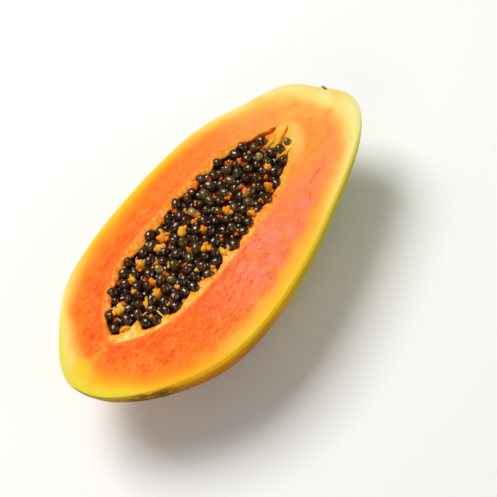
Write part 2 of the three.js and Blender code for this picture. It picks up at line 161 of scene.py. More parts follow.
# Strands of placenta between the seeds: middle x and y, length, width, turn in degrees, rise
# of the tip above the cut, and tone from deep orange, 0, to cream, 1.
STRANDS = [
    (-60.5, 12, 5.5, 3.4, -50, 2.4, 0.78),
    (-65.5, 3, 7.5, 4.2, -35, 1.2, 0.55),
    (-49, 3, 9, 2.2, 42, 3.2, 0.82),
    (-43.5, 17.3, 4.6, 3.4, 100, 2.8, 0.58),
    (-42.5, 1.7, 5.4, 3.6, -15, 3.2, 0.6),
    (-38.6, 8.2, 5, 2.7, 90, 2.4, 0.42),
    (-34.8, 19.5, 6, 3.6, 90, 3.4, 0.72),
    (-22.6, 17.4, 5, 3.4, -25, 3.2, 0.78),
    (-16.8, 19.6, 7, 5, 20, 3.4, 0.5),
    (-8.6, 13.6, 4.6, 4.4, 0, 3.6, 0.62),
    (-7.6, -1.8, 3.8, 3.4, 0, 3.2, 0.66),
    (-5, -9.8, 8, 2.8, 75, 1.8, 0.72),
    (-1.4, 5.6, 5, 3.2, 105, 2.6, 0.4),
    (2.6, 12.3, 4.4, 3.2, 90, 2.4, 0.46),
    (13.5, 1.7, 4.4, 3.4, 0, 3.4, 0.5),
    (20, -8, 6.4, 3.2, 110, 2.0, 0.52),
    (27, 1.8, 6.4, 2.8, 35, 3.6, 0.42),
    (36.8, -5.3, 5.2, 3.2, 85, 2.6, 0.45),
    (39.5, 15.5, 4.4, 2.6, 75, 2.6, 0.26),
    (45.2, 2, 4.4, 3.2, 20, 2.4, 0.66),
    (58.5, 9.4, 12, 3.0, -4, 0.9, 0.72),
    (57.5, -0.4, 9, 1.8, -20, 0.9, 0.8),
]

# Seeds that set the outline of the heap. The rest fall between them.
LEADING_SEEDS = [
    (-68, 8.5), (-64.5, 14.5), (-54, 21.5), (-47.5, 19.5), (-37.5, 25.5), (-28.5, 23),
    (-19.3, 26.6), (-7, 24.5), (2, 27), (12, 25), (20.5, 26.3), (33, 25.2), (47.5, 20),
    (51, 15), (56, 14.6), (63, 2.8), (53.4, 5.8), (53.6, -1.6), (46.2, -2.8), (41, -6.8),
    (31.5, -9), (9.8, -10.5), (1.5, -11.6), (-11.5, -9.6), (-18.3, -11), (-41.5, -9.5),
    (-46, -6.2), (-53, -6.6), (-56.5, -2.5), (-61, 6), (-56.8, 17), (-52.5, 12.6),
]

# Seeds that never filled: plan x and y, and tone.
PALE_SEEDS = [(-28.5, 8.5, 0.8), (-30.5, 3.8, 0.66), (2.5, 17.2, 0.95), (47, 12.5, 0.85),
              (63, 2.8, 0.62)]

# ---- Grids ----

AROUND = 480  # points round the fruit and its lining
ROUND_ROWS = 4
FACE_ROWS = 44
SKIN_ROWS = 84
FLAT_ROWS = 4
WAVES = 14  # in the smooth noise


# ---- Curves and noise ----

def between(a, b, c, d, t):
    """The cubic from b to c that at each of them runs parallel to the line between its two
    neighbours, at the share t of the way."""
    return 0.5 * (2 * b + (c - a) * t + (2 * a - 5 * b + 4 * c - d) * t**2
                  + (3 * b - a - 3 * c + d) * t**3)


def closed_curve(points, samples=720):
    """A smooth closed curve through the points."""
    p = np.asarray(points, float)
    t = np.arange(samples) * len(p) / samples
    i = t.astype(int)
    return between(*(p[(i + k) % len(p)] for k in (-1, 0, 1, 2)), (t - i)[:, None])


def angle_from_centre(points):
    """The angle at the middle of the cavity of each plan point."""
    return np.arctan2(points[..., 1] - CENTRE[1], points[..., 0] - CENTRE[0])


def inset(curve, distance):
    """A counter-clockwise curve moved inwards along its normals."""
    along = np.roll(curve, -3, 0) - np.roll(curve, 3, 0)
    along /= np.linalg.norm(along, axis=1, keepdims=True)
    inwards = np.stack([-along[:, 1], along[:, 0]], 1)
    return curve + inwards * np.reshape(distance, (-1, 1))


def radius_of(curve):
    """The curve's distance from the middle of the cavity as a function of the angle there."""
    angle = angle_from_centre(curve)
    order = np.argsort(angle)
    radius = np.hypot(*(curve[:, :2] - CENTRE).T)
    return lambda theta: np.interp(theta, angle[order], radius[order], period=2 * pi)


def smooth_step(value, low, high):
    """0 below low, 1 above high, and an even S between them."""
    t = np.clip((np.asarray(value, float) - low) / (high - low), 0, 1)
    return t * t * (3 - 2 * t)


def spread_angles(count):
    """Angles that spread evenly round an oval twice as long as wide."""
    turn = 2 * pi * np.arange(count) / count
    return np.arctan2(np.sin(turn), 2 * np.cos(turn))


def ring(angle, radius, height):
    """Points round the middle of the cavity, at a height above the cut."""
    unit = np.stack([np.cos(angle), np.sin(angle)], 1)
    return np.column_stack([CENTRE + unit * np.reshape(radius, (-1, 1)),
                            FACE + np.broadcast_to(height, len(angle))])


def ripple(points, wavelength, seed):
    """Smooth noise of about -1 to 1: the sum of sine waves that cross the points in random
    directions, with lengths near the one given."""
    rng = np.random.default_rng(seed)
    direction = rng.normal(size=(WAVES, 3))
    direction /= np.linalg.norm(direction, axis=1, keepdims=True)
    direction /= (wavelength * rng.uniform(0.7, 1.4, WAVES))[:, None]
    phase = rng.uniform(0, 2 * pi, WAVES)
    return np.sin(2 * pi * np.asarray(points) @ direction.T + phase).sum(-1) / WAVES * 2.6


def ripples(points, seed, *waves):
    """The sum of such noises, each with an amount and a wavelength of its own."""
    return sum(amount * ripple(points, wavelength, seed + k)
               for k, (amount, wavelength) in enumerate(waves))


def shake(points, wavelength, seed):
    """Noise along each axis, every one with a seed of its own."""
    return np.stack([ripple(points, wavelength, seed + k) for k in range(3)], -1)


RIM_CURVE = closed_curve(RIM_POINTS)
EDGE_CURVE = closed_curve(EDGE_POINTS)


def heap_reach(distance):
    """The radius inside the placenta at the cut, drawn in by a distance. The placenta is a thin
    lining there, and one broad tongue widens it by a bell curve."""
    off = (angle_from_centre(RIM_CURVE) - TONGUE["angle"] + pi) % (2 * pi) - pi
    bell = np.exp(-(off / TONGUE["spread"]) ** 2)
    width = LINING + (TONGUE["width"] - LINING) * bell
    return radius_of(inset(RIM_CURVE, distance + width))


# ---- Meshes ----

def closed_grid(first_pole, rows, last_pole):
    """A closed surface over equal rings, from a first pole to a last one.

    Returns points and faces, each face four point numbers, with the last one -1 on triangles.
    The faces are turned over if more of them look inwards than outwards.
    """
    rings, count = rows.shape[:2]
    points = np.vstack([first_pole, rows.reshape(-1, 3), last_pole])
    i = np.arange(count)
    j = (i + 1) % count
    row = 1 + count * np.arange(rings - 1)[:, None]
    quads = np.stack([row + i, row + count + i, row + count + j, row + j], -1).reshape(-1, 4)
    none = np.full(count, -1)
    top = np.stack([np.zeros(count, int), 1 + i, 1 + j, none], 1)
    end = 1 + count * (rings - 1)
    bottom = np.stack([end + i, np.full(count, len(points) - 1), end + j, none], 1)
    faces = np.vstack([top, quads, bottom])
    a, b, c = (points[faces[:, k]] for k in (0, 1, 2))
    outwards = np.einsum("ij,ij->", np.cross(b - a, c - a), a - points.mean(0))
    if outwards < 0:
        whole = faces[:, 3] >= 0
        faces[whole] = faces[whole][:, ::-1]
        faces[~whole, :3] = faces[~whole, :3][:, ::-1]
    return points, faces


def together(surfaces):
    """Several closed surfaces as one list of points and faces."""
    start = np.cumsum([0] + [len(points) for points, _ in surfaces])
    points = np.vstack([points for points, _ in surfaces])
    faces = np.vstack([np.where(faces < 0, -1, faces + s)
                       for (_, faces), s in zip(surfaces, start)])
    return points, faces


def copies(surface, places, turns, sizes):
    """One surface repeated: each copy stretched by its size, turned, and moved to its place."""
    points, faces = surface
    moved = np.einsum("kij,knj->kni", turns, points[None] * sizes[:, None]) + places[:, None]
    offset = (len(points) * np.arange(len(places)))[:, None, None]
    repeated = np.where(faces[None] < 0, -1, faces[None] + offset)
    return moved.reshape(-1, 3), repeated.reshape(-1, 4)


def new_piece(name, surface, materials, node, attributes=None, slots=None):
    """Put a surface in millimetres into a mesh in metres that stands for a CAD node."""
    points, faces = surface
    sides = np.where(faces[:, 3] < 0, 3, 4)
    corners = faces[faces >= 0]
    mesh = bpy.data.meshes.new(name)
    mesh.vertices.add(len(points))
    mesh.vertices.foreach_set("co", (points * MM).astype(np.float32).ravel())
    mesh.loops.add(len(corners))
    mesh.loops.foreach_set("vertex_index", corners.astype(np.int32))
    mesh.polygons.add(len(faces))
    mesh.polygons.foreach_set("loop_start", (np.cumsum(sides) - sides).astype(np.int32))
    mesh.update(calc_edges=True)
    mesh.shade_smooth()
    for material in materials:
        mesh.materials.append(material)
    if slots is not None:
        mesh.polygons.foreach_set("material_index", slots.astype(np.int32))
    for key, values in (attributes or {}).items():
        layer = mesh.attributes.new(key, "FLOAT", "POINT")
        layer.data.foreach_set("value", np.asarray(values, np.float32))
    piece = bpy.data.objects.new(name, mesh)
    bpy.context.scene.collection.objects.link(piece)
    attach(piece, BODY)
    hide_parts(node)
    return piece


# ---- Materials ----

def linear(hex_colour):
    """An sRGB hex colour as linear red, green and blue."""
    value = np.array([int(hex_colour[i:i + 2], 16) for i in (1, 3, 5)]) / 255
    return tuple(np.where(value <= 0.04045, value / 12.92, ((value + 0.055) / 1.055) ** 2.4))


def rgba(colour):
    """A colour property or an sRGB hex colour as the four numbers a socket takes. Another
    node's output stays as it is."""
    if isinstance(colour, bpy.types.NodeSocket):
        return colour
    return (*(linear(colour) if isinstance(colour, str) else tuple(colour)), 1.0)


def find(sockets, name):
    """The socket with this number, identifier or name."""
    if isinstance(name, int):
        return sockets[name]
    return next(socket for socket in sockets if name in (socket.identifier, socket.name))


def add(tree, kind, settings=None, inputs=(), out=None):
    """Add one node, give it its settings and inputs, and return its first output, or the one
    named, or the node itself if it has none.

    Inputs come by name or in order. Each takes a value or another node's output. The setting
    "stops" fills a colour ramp.
    """
    node = tree.nodes.new("ShaderNode" + kind)
    for name, value in (settings or {}).items():
        if name != "stops":
            setattr(node, name, value)
            continue
        elements = node.color_ramp.elements
        while len(elements) < len(value):
            elements.new(1.0)
        for element, (place, colour) in zip(elements, value):
            element.position = place
            element.color = rgba(colour)
    for name, value in inputs.items() if isinstance(inputs, dict) else enumerate(inputs):
        socket = find(node.inputs, name)
        if isinstance(value, bpy.types.NodeSocket):
            tree.links.new(value, socket)
        else:
            socket.default_value = value
    if not node.outputs:
        return node
    return find(node.outputs, out or 0)


def paint(tree, colour, *coats):
    """Lay colours over a first one, each where its mask is 1."""
    for mask, coat in coats:
        colour = add(tree, "Mix", {"data_type": "RGBA"}, {
            "Factor_Float": mask, "A_Color": colour, "B_Color": rgba(coat),
        }, out="Result_Color")
    return colour


def within(tree, *ranges, mask=None, curve="SMOOTHSTEP"):
    """Narrow a mask, or make one, to where every source lies in its range: the product of S
    curves, or straight ones, from 0 at the first value to 1, or the most given, at the second.
    """
    for source, low, high, *most in ranges:
        part = add(tree, "MapRange", {"interpolation_type": curve},
                   (source, low, high, 0.0, *(most or [1.0])))
        mask = part if mask is None else add(
            tree, "Math", {"operation": "MULTIPLY"}, (mask, part))
    return mask


def spot(tree, place, centre, stretch, radius, core, most):
    """A mask that is the most given inside a core and 0 outside a radius, both in metres and
    longer along the axes that the stretch makes short."""
    centre = [c * s for c, s in zip(centre, stretch)]
    off = add(tree, "VectorMath", {"operation": "DISTANCE"}, (
        add(tree, "Mapping", inputs={"Vector": place, "Scale": stretch}), centre), out="Value")
    return within(tree, (off, radius, core, most))


def toned(tree, place, size, wobble, *stops):
    """Colours picked by the tone attribute, give or take clouds of this size and strength."""
    tone = add(tree, "Attribute", {"attribute_name": "tone"}, out="Fac")
    cloud = add(tree, "TexNoise", inputs={"Vector": place, "Scale": per_mm(size), "Detail": 4.0})
    cloud = add(tree, "Math", {"operation": "MULTIPLY_ADD"}, (cloud, 2 * wobble, -wobble))
    cloud = add(tree, "Math", {"operation": "ADD", "use_clamp": True}, (cloud, tone))
    return add(tree, "ValToRGB", {"stops": stops}, (cloud,))


def per_mm(size):
    """A texture's scale, in metres of object space, for features of this size in millimetres."""
    return 1 / (size * MM)


def new_material(name):
    """An empty node material, its tree and its object coordinates."""
    material = bpy.data.materials.new(name)
    material.use_nodes = True
    tree = material.node_tree
    tree.nodes.clear()
    return material, tree, add(tree, "TexCoord", out="Object")


def finish(material, inputs, *bumps):
    """End a material: a Principled shader with these inputs, under bumps laid one over
    another, each a height, a strength and a depth in millimetres."""
    tree, normal = material.node_tree, {}
    for height, strength, deep in bumps:
        normal = {"Normal": add(tree, "Bump", inputs={
            "Height": height, "Strength": strength, "Distance": deep * MM, **normal})}
    shader = add(tree, "BsdfPrincipled", inputs={**normal, **inputs})
    add(tree, "OutputMaterial", inputs=(shader,))
    return material


def flesh_material(colours):
    """Papaya flesh, freshly cut: soft tissue that light sinks into a little.

    It pales from deep orange by the cavity to yellow under the rind, paler still towards the
    stem and salmon on the thick side, partly a painted sheen, with short juicy fibres along the
    fruit.
    """
    material, tree, place = new_material("papaya_flesh_fresh_cut")
    depth = add(tree, "Attribute", {"attribute_name": "depth_mm"}, out="Fac")
    rim = add(tree, "Attribute", {"attribute_name": "rim_mm"}, out="Fac")
    x, y, _ = add(tree, "SeparateXYZ", inputs=(place,)).node.outputs

    # Clouds of 8 to 24 mm, flecks of 1.5 mm and a fine grain.
    cloud, pink_sheen, flecks, patch, vein, grain = (
        add(tree, "TexNoise", inputs={
            "Vector": place, "Scale": per_mm(size), "Detail": detail, "Roughness": rough})
        for size, detail, rough in ((13, 4.0, 0.5), (8, 6.0, 0.78), (1.5, 3.0, 0.65),
                                    (24, 3.0, 0.5), (9, 3.0, 0.5), (0.8, 2.0, 0.5)))

    # Dabs of juice 3 mm long and fibres 12 mm long, both along the fruit.
    dabs, streaks = (
        add(tree, "TexNoise", inputs={
            "Vector": add(tree, "Mapping", inputs={"Vector": place, "Scale": stretch}),
            "Scale": per_mm(size), "Detail": detail, "Roughness": rough, "Distortion": warp})
        for stretch, size, detail, rough, warp in (
            ((0.42, 1.0, 0.7), 1.7, 5.0, 0.66, 0.35), ((0.12, 1.0, 0.6), 3.2, 3.0, 0.55, 0.5)))

    # Cloudy edges on every band of colour, growing with depth.
    wander = add(tree, "Math", {"operation": "MULTIPLY_ADD"}, (cloud, 12.0, -6.0))
    grow = add(tree, "MapRange", inputs=(depth, 0.0, 12.0, 0.05))
    depth = add(tree, "Math", {"operation": "MULTIPLY_ADD"}, (wander, grow, depth))
    share = add(tree, "MapRange", inputs=(depth, 0.0, 20.0))
    ripe = add(tree, "ValToRGB", {"stops": [
        (0.0, colours.rind_line), (0.045, "#F6CC2C"), (0.11, colours.flesh_outer),
        (0.2, "#FC9C1A"), (0.38, colours.flesh), (0.80, colours.flesh_deep)]}, (share,))
    pale = add(tree, "ValToRGB", {"stops": [
        (0.0, "#E4E090"), (0.06, "#F7EA92"), (0.15, "#FEE080"), (0.24, "#FEC968"),
        (0.36, "#FDAA50"), (0.55, "#FC9850"), (1.0, colours.flesh_stem)]}, (share,))
    inner = within(tree, (depth, 5.0, 13.0))
    ahead = add(tree, "Math", {"operation": "MULTIPLY_ADD"}, (inner, 0.045, x))
    stem = within(tree, (ahead, 0.010, 0.100))
    shaded = within(tree, (y, -0.004, 0.016, 0.6), (x, -0.035, -0.075), (depth, 9.5, 1.5))
    paleness = add(tree, "Math", {"operation": "MAXIMUM"}, (stem, shaded))

    # More golden under the rind of the thick side, by the blossom end, and greener rind there.
    golden = within(tree, (depth, 5.0, 0.5), (x, -0.032, -0.055, 0.6), (y, -0.018, -0.034))
    tip = within(tree, (x, -0.078, -0.096, 0.6), (depth, 2.4, 0.2))

    # Salmon on the thick side, most by the middle, with pink clouds: the flesh's own tint and a
    # painted pinkish sheen.
    salmon = within(tree, (y, -0.009, -0.022, 0.95), (x, -0.050, 0.0, 0.95),
                    (x, 0.080, 0.035, 0.95), mask=inner)
    pink_sheen = within(tree, (pink_sheen, 0.46, 0.58, 0.85), mask=salmon)

    # A broad pale band under the rind of the thick side, in the middle of the fruit.
    band = within(tree, (depth, 12.0, 4.5, 0.6), (depth, 0.5, 3.0), (y, -0.018, -0.034),
                  (x, -0.062, -0.040), (x, 0.060, 0.015))

    # Deeper orange on the thin side, lighter round the blossom end of the thick one.
    deep = within(tree, (depth, 3.0, 8.0, 0.6), (y, 0.016, 0.028), (x, -0.030, 0.0),
                  (x, 0.060, 0.035))
    light_end = within(tree, (depth, 5.5, 9.0, 0.45), (y, -0.004, -0.018), (x, -0.064, -0.078))

    # Dabs, fibres and flecks show where the flesh is wet, less towards the stem.
    calm = add(tree, "MapRange", inputs=(stem, 0.0, 1.0, 1.0, 0.3))
    wet_part = add(tree, "Math", {"operation": "MULTIPLY"}, (inner, calm))
    dark_dab = within(tree, (dabs, 0.53, 0.65, 0.8), mask=wet_part, curve="LINEAR")
    light_dab = within(tree, (dabs, 0.47, 0.36, 0.32), mask=inner, curve="LINEAR")
    dark_streak = within(tree, (streaks, 0.55, 0.72, 0.5), mask=wet_part, curve="LINEAR")
    dark_fleck = within(tree, (flecks, 0.53, 0.64, 0.55), mask=wet_part)
    light_fleck = within(tree, (flecks, 0.47, 0.37, 0.4), mask=wet_part)

    # Yellow patches towards the stem.
    patch = within(tree, (patch, 0.44, 0.62, 0.7), (x, 0.055, 0.080), (y, -0.012, 0.004))

    # A broken vein half way through the thick side, towards the stem.
    vein = add(tree, "Math", {"operation": "MULTIPLY_ADD"}, (vein, 9.0, depth))
    vein = add(tree, "Math", {"operation": "COMPARE"}, (vein, 17.0, 0.35))
    vein = within(tree, (dabs, 0.42, 0.52), (x, 0.015, 0.035), (x, 0.080, 0.060),
                  (y, -0.006, -0.014), mask=vein)

    # A yellow spot in the blossom end, with a pale streak from it to the cavity, and an
    # orange spot in the stem end.
    yellow = spot(tree, place, (-0.0945, 0.0065, 0.0), (0.9, 1.0, 0.0), 0.0075, 0.0015, 0.8)
    streak = spot(tree, place, (-0.0840, 0.0045, 0.0), (0.35, 1.0, 0.0), 0.0035, 0.0007, 0.5)
    orange = spot(tree, place, (0.0889, -0.0036, 0.0), (0.55, 1.0, 0.0), 0.0030, 0.0006, 0.6)

    # A paler seam where the cut meets the cavity, wide and creamy at the stem end.
    seam = within(tree, (rim, 2.0, 0.5, 0.3))
    cream = within(tree, (rim, 7.0, 1.0, 0.8), (x, 0.052, 0.066), (y, 0.013, 0.006))
    colour = paint(tree, ripe, (paleness, pale), (golden, "#F8A000"), (tip, "#E2D838"),
                   (deep, "#FA7A14"), (light_end, "#FA9E34"), (salmon, colours.flesh_salmon_and_sheen),
                   (pink_sheen, "#FF8C78"), (band, "#FEC44A"), (patch, "#FFC34E"),
                   (dark_fleck, "#F4622C"), (light_fleck, "#FF9E54"), (yellow, "#FFC80A"),
                   (streak, "#FFA83C"), (orange, "#FF9444"),
                   (dark_streak, colours.flesh_streak), (dark_dab, colours.flesh_streak),
                   (light_dab, "#FFA03C"), (vein, "#F76C38"), (seam, "#FFB04A"),
                   (cream, "#FFC56C"))
    return finish(material, {
        "Base Color": colour, "IOR": 1.38, "Specular IOR Level": 0.12,
        "Roughness": add(tree, "MapRange", inputs=(dabs, 0.0, 1.0, 0.4, 0.65)),
        "Subsurface Weight": 0.2, "Subsurface Radius": (1.0, 0.42, 0.16),
        "Subsurface Scale": 0.0016}, (dabs, 0.35, 0.4), (grain, 0.22, 0.2))


def cork_material(colours):
    """Cork: the dry grey-green scar tissue left where the stem broke off."""
    material, tree, place = new_material("papaya_stem_scar_cork")
    crumbs = add(tree, "TexNoise", inputs={"Vector": place, "Scale": per_mm(1.2), "Detail": 4.0})
    colour = add(tree, "ValToRGB", {"stops": [(0.35, "#6C6444"), (0.65, colours.scar)]}, (crumbs,))
    return finish(material, {"Base Color": colour, "Roughness": 0.8, "Specular IOR Level": 0.2},
                  (crumbs, 0.7, 0.5))


def skin_material(colours):
    """Papaya skin, ripe: a thin waxy peel, golden yellow with green left in soft clouds.

    Wax gives a low sheen; pores and a few brown lenticels keep it from looking moulded.
    """
    material, tree, place = new_material("papaya_skin_waxy_ripe")
    x, y, z = add(tree, "SeparateXYZ", inputs=(place,)).node.outputs

    # Clouds of 38 and 60 mm, worn patches of 5 mm, pores, and the unevenness of the peel.
    cloud, patch, worn, pores, peel = (
        add(tree, "TexNoise", inputs={
            "Vector": place, "Scale": per_mm(size), "Detail": detail, "Roughness": rough,
            "Distortion": warp})
        for size, detail, rough, warp in ((38, 4.0, 0.55, 0.0), (60, 5.0, 0.6, 0.4),
                                          (5, 4.0, 0.5, 0.0), (1.3, 3.0, 0.5, 0.0),
                                          (7, 2.0, 0.5, 0.0)))
    colour = add(tree, "ValToRGB", {"stops": [
        (0.35, colours.skin), (0.62, colours.skin_gold)]}, (cloud,))

    # Limier towards the stem and amber towards the blossom end; darker low on its front, painted
    # shade.
    lime = within(tree, (x, -0.03, 0.06, 0.85))
    amber = within(tree, (x, -0.002, -0.045, 0.65))
    # Painted shade: the skin darkened low on its front.
    brown = within(tree, (z, (FACE - 3) * MM, (FACE - 13) * MM, 0.6), (y, -0.010, -0.030),
                   (x, 0.010, -0.035))

    # Green clouds on the belly, least near the cut.
    low = within(tree, (z, 0.048, 0.012, 0.12))
    patch = add(tree, "Math", {"operation": "ADD"}, (patch, low))
    green = within(tree, (patch, 0.56, 0.80, 0.8))

    # Painted light: the skin brightened just under the cut, as if lit from inside by the flesh, and
    # olive at the tip.
    painted_glow = within(tree, (z, (FACE - 6) * MM, (FACE - 0.5) * MM))
    painted_lime_glow = add(tree, "Math", {"operation": "MULTIPLY"}, (painted_glow, lime))
    tip = within(tree, (x, -0.088, -0.102, 0.7))

    # One brown-green smudge low on the front, by the blossom end, worn in patches: partly a mark of
    # the skin, partly painted shade where the fruit meets the floor.
    smudge_and_shade = spot(tree, place, (-0.08194, -0.027, (FACE - 7) * MM), (0.36, 0.7, 1.0),
                  0.0125, 0.003, 0.85)
    smudge_and_shade = within(tree, (worn, 0.32, 0.52), mask=smudge_and_shade, curve="LINEAR")

    # Lenticels: brown freckles under 1 mm, about 7 mm apart.
    freckle = add(tree, "TexVoronoi", inputs={"Vector": place, "Scale": per_mm(6.5)})
    freckle = within(tree, (freckle, 0.085, 0.045, 0.55), curve="LINEAR")

    scar = add(tree, "Attribute", {"attribute_name": "scar"}, out="Fac")
    colour = paint(tree, colour, (lime, colours.skin_lime), (amber, "#D88400"),
                   (brown, "#8A5000"), (green, colours.skin_green), (painted_glow, "#FFC400"),
                   (painted_lime_glow, "#FFEA1E"), (tip, colours.skin_tip), (smudge_and_shade, "#4E3A04"),
                   (freckle, "#8A6A1E"), (scar, colours.scar))
    return finish(material, {
        "Base Color": colour, "IOR": 1.38, "Specular IOR Level": 0.06,
        "Specular Tint": rgba("#FFDB4A"),
        "Roughness": add(tree, "MapRange", inputs=(cloud, 0.0, 1.0, 0.32, 0.5)),
        "Subsurface Weight": 0.12, "Subsurface Radius": (1.0, 0.6, 0.15),
        "Subsurface Scale": 0.002}, (peel, 0.3, 0.6), (pores, 0.14, 0.2))


def placenta_material(colours):
    """Placenta: spongy wet tissue, cream where it is torn and orange where it is thick."""
    material, tree, place = new_material("papaya_placenta_spongy")
    colour = toned(tree, place, 3, 0.22, (0.0, colours.pulp_shade), (0.16, colours.pulp_deep),
                   (0.42, colours.pulp), (0.70, "#FFB22E"), (1.0, colours.fringe))
    grain = add(tree, "TexNoise", inputs={"Vector": place, "Scale": per_mm(0.8), "Detail": 3.0})
    return finish(material, {
        "Base Color": colour, "Roughness": 0.45, "IOR": 1.38, "Specular IOR Level": 0.14,
        "Subsurface Weight": 0.35, "Subsurface Radius": (1.0, 0.5, 0.2),
        "Subsurface Scale": 0.001, "Coat Weight": 0.2, "Coat Roughness": 0.16},
        (grain, 0.4, 0.3))


def seed_material(colours):
    """Papaya seeds: hard wrinkled black-brown coats under a thin film of clear gel.

    The gel gives small sharp highlights, and the wrinkles break them up.
    """
    material, tree, place = new_material("papaya_seed_gel_coated")
    colour = toned(tree, place, 2.4, 0.25, (0.0, colours.seed), (0.35, colours.seed_brown),
                   (0.6, colours.seed_olive), (1.0, colours.seed_pale))
    wrinkle = add(tree, "TexNoise", inputs={
        "Vector": place, "Scale": per_mm(1.7), "Detail": 3.0, "Roughness": 0.6,
        "Distortion": 1.2})
    gel = add(tree, "Bump", inputs={"Height": wrinkle, "Strength": 0.32, "Distance": 0.8 * MM})
    return finish(material, {
        "Base Color": colour, "Roughness": 0.42, "IOR": 1.45, "Specular IOR Level": 0.15,
        "Specular Tint": rgba("#E2D098"), "Coat Weight": 1.0, "Coat Roughness": 0.12,
        "Coat IOR": 1.8, "Coat Normal": gel}, (wrinkle, 0.9, 0.8))


def pulp_in_shade_material(colours):
    """Juice-soaked pulp deep between the seeds: dark red-brown, painted shade for the gaps as well
    as juice, and wet.
    """
    material, tree, place = new_material("papaya_pulp_in_shade")
    lumps = add(tree, "TexNoise", inputs={"Vector": place, "Scale": per_mm(3), "Detail": 3.0})
    colour = add(tree, "ValToRGB", {"stops": [(0.35, colours.juice), (0.7, "#A04A14")]}, (lumps,))
    return finish(material, {"Base Color": colour, "Roughness": 0.35, "Specular IOR Level": 0.3},
                  (lumps, 0.6, 1.0))


def floor_material(colours):
    """Photo paper sweep: matte white card with a hardly visible tooth."""
    material, tree, place = new_material("paper_sweep_matte")
    tooth = add(tree, "TexNoise", inputs={"Vector": place, "Scale": per_mm(4), "Detail": 2.0})
    return finish(material, {"Base Color": rgba(colours.floor), "Roughness": 0.85,
                             "Specular IOR Level": 0.2}, (tooth, 0.05, 0.2))


# ---- Shapes ----

def skin_points(edge, shares):
    """The skin below the cut, from the cut, 0, to its flat foot, 1: the edge drawn in towards
    the foot by the cosine of an angle and lowered by its sine, an ellipse. Five lobes run along
    it, and a bell-shaped dimple marks the stem."""
    swell = SWELL * (1 - (edge[:, 0] / HALF_LENGTH) ** 4)
    depth = (FACE + FLAT_SINK) / (1 + np.sin(swell))
    start = np.arcsin(np.sin(swell) - 1.6 * CUT_ROUND / depth)
    flat = np.arcsin(np.sin(swell) - FACE / depth)
    angles = start + (flat - start) * shares[:, None]
    draw = np.cos(angles) / np.cos(swell)
    x = FOOT[0] + (edge[:, 0] - FOOT[0]) * draw
    y = FOOT[1] + (edge[:, 1] - FOOT[1]) * draw
    z = FACE + depth * (np.sin(angles) - np.sin(swell))
    height = np.maximum(z, 0) / FACE
    turn = np.arctan2(z - FACE, y)
    lobe = LOBE_HEIGHT * np.cos(LOBES * (turn + pi / 2)) * 4 * height * (1 - height)
    y = y + lobe * np.cos(turn)
    z = z + lobe * np.sin(turn)
    off = np.hypot(y - STEM_SCAR["y"], z - FACE) / STEM_SCAR["radius"]
    scar = np.exp(-off**2) * (x > 0)
    x = x - STEM_SCAR["depth"] * scar
    return np.stack([x, y, np.maximum(z, 0)], -1), scar


def fruit_surface():
    """Skin and flesh as one closed surface of rings round the fruit: up the cavity's wall on a
    quarter ellipse, over the rounded rim, across the cut, over its edge and down the skin."""
    angle = spread_angles(AROUND)
    rim, edge = radius_of(RIM_CURVE)(angle), radius_of(EDGE_CURVE)(angle)
    rim = rim + ripples(ring(angle, rim, -FACE), 11, (0.35, 5), (0.2, 2))
    wall = [ring(angle, rim * cos(q), -CAVITY_DEPTH * sin(q)) for q in WALL_ANGLES]
    wall += [ring(angle, rim + RIM_ROUND * (1 - cos(a)), -RIM_ROUND * (1 - sin(a)))
             for a in np.linspace(0, pi / 2, ROUND_ROWS, endpoint=False)]
    inner, outer = rim + RIM_ROUND, edge - CUT_ROUND
    face = [ring(angle, inner + (outer - inner) * t, 0.0) for t in np.linspace(0, 1, FACE_ROWS)]
    face += [ring(angle, edge - CUT_ROUND * (1 - sin(a)), -CUT_ROUND * (1 - cos(a)))
             for a in np.linspace(0, pi / 2, ROUND_ROWS)[1:]]
    face = np.array(face)
    face[..., 2] += np.minimum(ripples(face, 21, (0.10, 16), (0.05, 4)), 0.12) - 0.05
    skin, scar = skin_points(ring(angle, edge, 0.0), np.linspace(0, 1, SKIN_ROWS))
    flat = np.repeat(skin[-1:], FLAT_ROWS - 1, axis=0)
    share = np.linspace(1, 0, FLAT_ROWS, endpoint=False)[1:, None, None]
    flat[..., :2] = FOOT + (flat[..., :2] - FOOT) * share
    points, faces = closed_grid([*CENTRE, FACE - CAVITY_DEPTH],
                                np.concatenate([wall, face, skin, flat]), [*FOOT, 0])

    on_face = slice(1 + AROUND * len(wall), 1 + AROUND * (len(wall) + len(face)))
    rind, near, marks = (np.full(len(points), value) for value in (30.0, 0.0, 0.0))
    rind[on_face] = distance_to(points[on_face], EDGE_CURVE)
    near[on_face] = distance_to(points[on_face], RIM_CURVE)
    first = on_face.stop
    rind[first:], near[first:] = 0, 20
    marks[first:first + scar.size] = scar.ravel()
    ends = smooth_step(np.abs(points[:, 0]), NARROWING["from"], NARROWING["to"])
    slots = (faces[:, :3].max(1) > first + AROUND).astype(int)
    return (points, faces), {
        "depth_mm": rind * (1 - NARROWING["by"] * ends), "rim_mm": near, "scar": marks}, slots


def distance_to(points, curve):
    """Each point's plan distance to the nearest point of a curve."""
    return np.concatenate([
        np.sqrt(((block[:, None, :2] - curve[::2]) ** 2).sum(-1)).min(1)
        for block in np.array_split(points, 24)])


